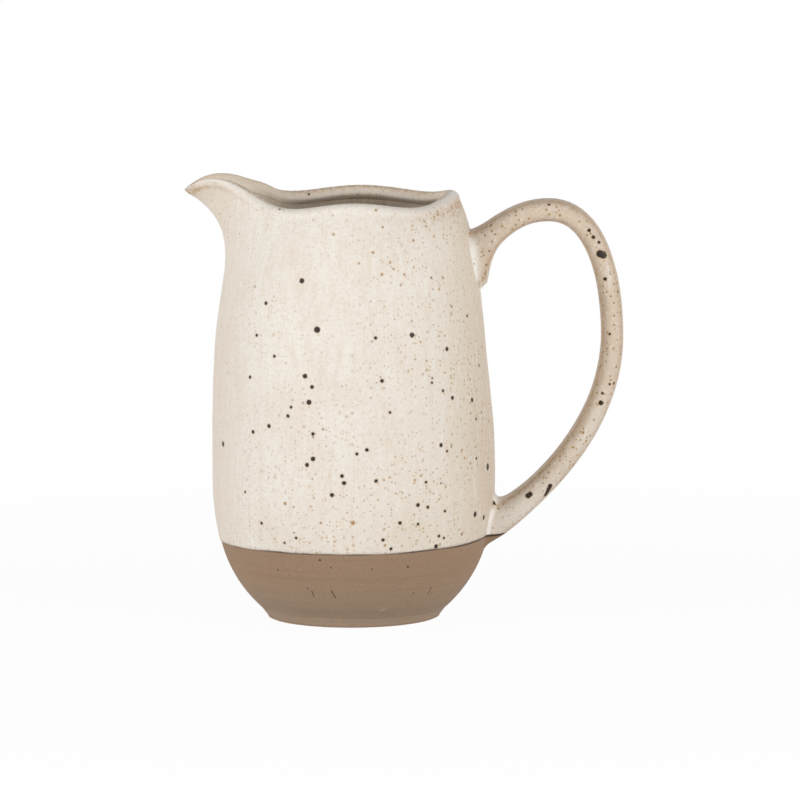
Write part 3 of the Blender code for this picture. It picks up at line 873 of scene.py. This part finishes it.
bpy.ops.object.select_all(action='DESELECT')
bpy.ops.mesh.primitive_circle_add(vertices=RING_POINTS, radius=STRAP_WIDTH / 2)
strap = bpy.context.object
strap.name = "strap_handle"
bpy.ops.object.mode_set(mode='EDIT')
bpy.ops.mesh.select_all(action='SELECT')
strap_rows = STRAP_ROWS + 2 * (RIB_ROWS + FILLET_ROWS)
for row in range(strap_rows):
    bpy.ops.mesh.extrude_edges_move(TRANSFORM_OT_translate={"value": (0, 0, ROW_RISE)})
bpy.ops.object.mode_set(mode='OBJECT')

turns = [2 * math.pi * index / RING_POINTS for index in range(RING_POINTS)]
free_end = strap_length - FREE_START
free_steps = np.linspace(FREE_START, free_end, STRAP_ROWS + 1)
skin = []
for turn in turns:
    line = joint_rib(FREE_START, -1, turn, **UPPER_FILLET)[::-1]
    line += [strap_point(distance, turn) for distance in free_steps]
    line += joint_rib(free_end, 1, turn, **LOWER_FILLET)
    skin.append(line)
for index, vertex in enumerate(strap.data.vertices):
    vertex.co = skin[index % RING_POINTS][index // RING_POINTS]
bpy.ops.object.mode_set(mode='EDIT')
bpy.ops.mesh.select_all(action='SELECT')
bpy.ops.mesh.normals_make_consistent(inside=False)
bpy.ops.object.mode_set(mode='OBJECT')
bpy.ops.object.shade_smooth()

INNER_SHADE_HEIGHTS = (0.165, 0.135)
INNER_SHADE_OUT = (0.040, 0.055)
TOP_SHADE_HEIGHTS = (0.148, 0.160)
PALE_BEND_HEIGHT = 0.078
PALE_BEND_REACH = 0.018
PALE_LOW_HEIGHTS = (0.066, 0.026)
# Painted shade: the strap's creams are darker copies of the body's, and STRAP_SHADE darkens its
# inner side.
STRAP_CREAM = (0.765, 0.660, 0.540)
STRAP_TAN = (0.665, 0.540, 0.415)
STRAP_SHADE = (0.420, 0.330, 0.240)

thin_glaze_and_shade, lip_tan_and_painted_shade, pooled_glaze_and_highlight = [], [], []
for index, vertex in enumerate(strap.data.vertices):
    x, y, height = vertex.co
    turn = turns[index % RING_POINTS]
    row = index // RING_POINTS
    to_wall = min(row, strap_rows - row)
    at_lower = row > strap_rows / 2
    outwards = max(0.0, math.cos(turn))
    inwards = ease(-math.cos(turn), -0.05, 0.40)
    # Painted shade on the inner side of the hanging strap.
    hanging = part_way(height, *INNER_SHADE_HEIGHTS) * part_way(x, *INNER_SHADE_OUT)
    lip_tan_and_painted_shade.append(0.66 * hanging * inwards)
    edges = 0.70 if math.cos(turn) < 0 else 0.55
    edges *= bell(abs(math.sin(turn)), 0.62, 0.16)
    # Painted shade on the top of the strap's arch and in the corner where it meets the wall above.
    top_shade = 0.45 * bell(math.sin(turn), 0, 0.55) if outwards > 0 else 0.0
    corner = 0.0 if at_lower else outwards * bell(to_wall, 0, 9)
    top_shade = max(top_shade * part_way(height, *TOP_SHADE_HEIGHTS), 0.65 * corner)
    thin_glaze_and_shade.append(min(1.0, edges + top_shade))
    # Pale strips along the joints, partly pooled glaze and partly painted highlight; a painted
    # highlight on the outer half at the bend; paler towards the lower joint.
    strip = 0.45 * FILLET_ROWS + (3.0 * outwards if at_lower else 0.0)
    pale = 0.95 * (1 - corner) * bell(to_wall, strip, 0.5 * FILLET_ROWS)
    pale = max(pale, 0.25 * (1 - inwards) * bell(height, PALE_BEND_HEIGHT, PALE_BEND_REACH))
    pooled_glaze_and_highlight.append(max(pale, min(0.50, part_way(height, *PALE_LOW_HEIGHTS))))
keep_values(strap, "thin_glaze_and_shade", thin_glaze_and_shade)
keep_values(strap, "lip_tan_and_painted_shade", lip_tan_and_painted_shade)
keep_values(strap, "pooled_glaze_and_highlight", pooled_glaze_and_highlight)
keep_edge_distance(strap)

strap_iron = from_front(strap, [
    (80.9, 152.3, 82.4, 151.8, 1.5), (80.5, 157.0, 0.65), (78.2, 159.2, 0.75), (76.4, 162.0, 0.70),
    (77.0, 160.7, 0.30), (83.0, 141.8, 0.75), (84.9, 118.9, 0.50), (88.4, 136.3, 0.50),
    (89.5, 110.2, 0.40), (81.3, 90.2, 1.0), (81.9, 94.3, 0.50), (84.9, 98.0, 0.50),
    (86.7, 98.2, 0.55), (60.2, 55.4, 58.4, 51.6, 0.95), (51.9, 52.1, 50.9, 51.4, 1.0),
    (59.9, 172.6, 0.55), (35.2, 153.4, 0.32), (32.9, 151.8, 0.22),
    (33.9, 147.6, 0.32), (28.9, 148.3, 0.20), (36.8, 48.2, 0.90)])
strap_brown = from_front(strap, [
    (59.9, 168.6, 0.45), (64.4, 168.3, 0.50), (72.4, 165.8, 0.40), (63.0, 171.7, 0.35),
    (51.6, 166.9, 0.40), (44.8, 162.5, 0.50), (40.5, 163.8, 0.45), (82.1, 138.8, 0.35),
    (86.5, 112.8, 0.40), (73.9, 77.7, 0.45), (75.2, 74.1, 0.45), (69.7, 71.7, 0.50),
    (59.5, 61.2, 0.45), (32.3, 142.3, 0.40), (38.7, 46.0, 0.40)])
speckled_strap, tree, shader, place, colour = glaze_finish(
    "speckled_strap", STRAP_CREAM, STRAP_TAN, STRAP_SHADE, strap_iron, strap_brown)
flecks = specks(tree, place, spacing=0.0014, share=0.55, size=0.00060)
flecks = times(tree, flecks, ramp(tree, stored(tree, "pooled_glaze_and_highlight"), 0.0, 0.8, 0.55, 0.0))
colour = blend(tree, flecks, colour, BROWN_SPECK)
above = stored(tree, "above_edge")
bare = clay_colour(tree, place)[0]
bare = lay(tree, bare, CLAY_DARK, above, -0.0013, -0.0008)
glazed = ramp(tree, above, -0.0001, 0.0001)
tree.links.new(blend(tree, glazed, bare, colour), shader.inputs["Base Color"])
roughness = ramp(tree, glazed, 0.0, 1.0, CLAY_ROUGHNESS, GLAZE_ROUGHNESS)
tree.links.new(roughness, shader.inputs["Roughness"])
strap.data.materials.append(speckled_strap)
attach(strap, "root")
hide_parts("handle", "handle_glaze", "upper_joint_coil", "lower_joint_coil")

# Studio. A wide floor that shows white and keeps a trace of shadow near the jug, two large soft
# lamps at about the camera's height and a weak one overhead, so that upright surfaces are bright
# and surfaces that face up are a little darker.
FLOOR_REACH = 40
FLOOR_WHITE = (0.95, 0.95, 0.95, 1)
FLOOR_ROUGHNESS = 0.9
WHITE = (1, 1, 1, 1)
SHADOW_REACH = (0.15, 0.60)
WHITE_AT_JUG = 0.96
ROOM_LIGHT = 0.18
LAMP_SIZE = (1.2, 0.50)


def seen_directly(tree):
    """1 where a surface shows plainly or in a reflection, 0 where it only throws light."""
    rays = tree.nodes.new('ShaderNodeLightPath')
    seen = maths(tree, 'MAXIMUM', rays.outputs["Is Camera Ray"], rays.outputs["Is Glossy Ray"])
    return maths(tree, 'MAXIMUM', seen, rays.outputs["Is Transmission Ray"])


bpy.ops.object.select_all(action='DESELECT')
bpy.ops.mesh.primitive_circle_add(vertices=64, radius=FLOOR_REACH, fill_type='NGON')
floor = bpy.context.object
floor.name = "floor"
white_floor, tree, shader, place = new_finish("white_floor", FLOOR_ROUGHNESS)
shader.inputs["Base Color"].default_value = FLOOR_WHITE
shader.inputs["Specular IOR Level"].default_value = 0.0
away = add_node(tree, 'ShaderNodeVectorMath', {0: place}, operation='LENGTH').outputs["Value"]
plain = times(tree, seen_directly(tree), ramp(tree, away, *SHADOW_REACH, WHITE_AT_JUG, 1.0))
glow = add_node(tree, 'ShaderNodeEmission', {0: WHITE, 1: 1.0})
mixed = add_node(
    tree, 'ShaderNodeMixShader', {0: plain, 1: shader.outputs[0], 2: glow.outputs[0]})
tree.links.new(mixed.outputs[0], tree.nodes["Material Output"].inputs[0])
floor.data.materials.append(white_floor)

world = bpy.data.worlds.new("studio")
bpy.context.scene.world = world
world.use_nodes = True
tree = world.node_tree
background = tree.nodes["Background"]
background.inputs[0].default_value = WHITE
tree.links.new(ramp(tree, seen_directly(tree), 0.0, 1.0, ROOM_LIGHT, 1.0), background.inputs[1])

for name, azimuth, distance, height, tilt, power in (
        ("lamp_left", -55, 1.6, 0.32, 90, 15.4), ("lamp_right", 53, 1.6, 0.32, 90, 14.9),
        ("lamp_above", 0, 0.35, 1.45, 15, 3.2)):
    lamp = bpy.data.lights.new(name, 'AREA')
    lamp.shape = 'RECTANGLE'
    lamp.size, lamp.size_y = LAMP_SIZE
    lamp.energy = power
    holder = bpy.data.objects.new(name, lamp)
    bpy.context.scene.collection.objects.link(holder)
    swing = math.radians(azimuth)
    holder.location = (distance * math.sin(swing), -distance * math.cos(swing), height)
    holder.rotation_euler = (math.radians(tilt), 0, swing)

# Camera. Far back and a little above the jug, as a long lens sees it on a table, with a slight
# swing towards the handle and a quarter of a degree of roll.
CAMERA_AZIMUTH = math.radians(1.5)
CAMERA_CLIMB = math.radians(6.7)
CAMERA_DISTANCE = 2.27
CAMERA_ROLL = math.radians(0.25)
SENSOR = 36
PIXEL = 0.0004168
IMAGE = 800
AIM = Vector((-0.0023, -0.00006, 0.0904))
lens = bpy.data.cameras.new("camera")
lens.sensor_width = SENSOR
lens.lens = SENSOR * CAMERA_DISTANCE / (PIXEL * IMAGE)
camera = bpy.data.objects.new("camera", lens)
bpy.context.scene.collection.objects.link(camera)
camera.location = AIM + CAMERA_DISTANCE * Vector((
    math.sin(CAMERA_AZIMUTH) * math.cos(CAMERA_CLIMB),
    -math.cos(CAMERA_AZIMUTH) * math.cos(CAMERA_CLIMB), math.sin(CAMERA_CLIMB)))
facing = (AIM - camera.location).to_track_quat('-Z', 'Y').to_matrix()
camera.rotation_euler = facing.to_euler()
camera.rotation_euler.rotate_axis('Z', -CAMERA_ROLL)
bpy.context.scene.camera = camera
bpy.context.scene.view_settings.view_transform = 'Standard'
